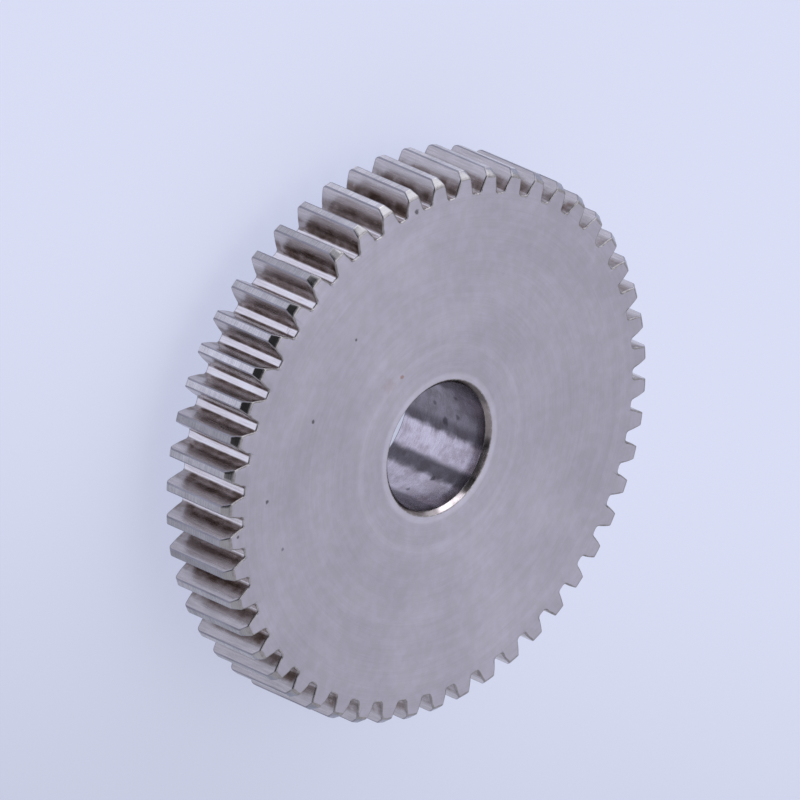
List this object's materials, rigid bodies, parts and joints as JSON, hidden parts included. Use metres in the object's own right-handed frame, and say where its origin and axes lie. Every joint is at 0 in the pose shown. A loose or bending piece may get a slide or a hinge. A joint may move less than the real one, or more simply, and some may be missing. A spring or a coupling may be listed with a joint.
{
  "type": "spur gear",
  "caption": "Straight-toothed steel spur gear with chamfered tooth ends, a plain round bore and a short hub boss on its back face, for driving a parallel shaft.",
  "frame": {"origin": "centre of the hub's flat end, on which the gear lies", "axes": "+Z along the gear's axis, from the hub's end to the plain front face; +X through the middle of a tooth gap"},
  "size_m": [0.052, 0.052, 0.011],
  "materials": {
    "steel": "turned faces and hobbed teeth in bare steel, satin, with light stains, pits and small nicks"
  },
  "bodies": {
    "root": {"spur_gear": "steel"}
  },
  "joints": []
}
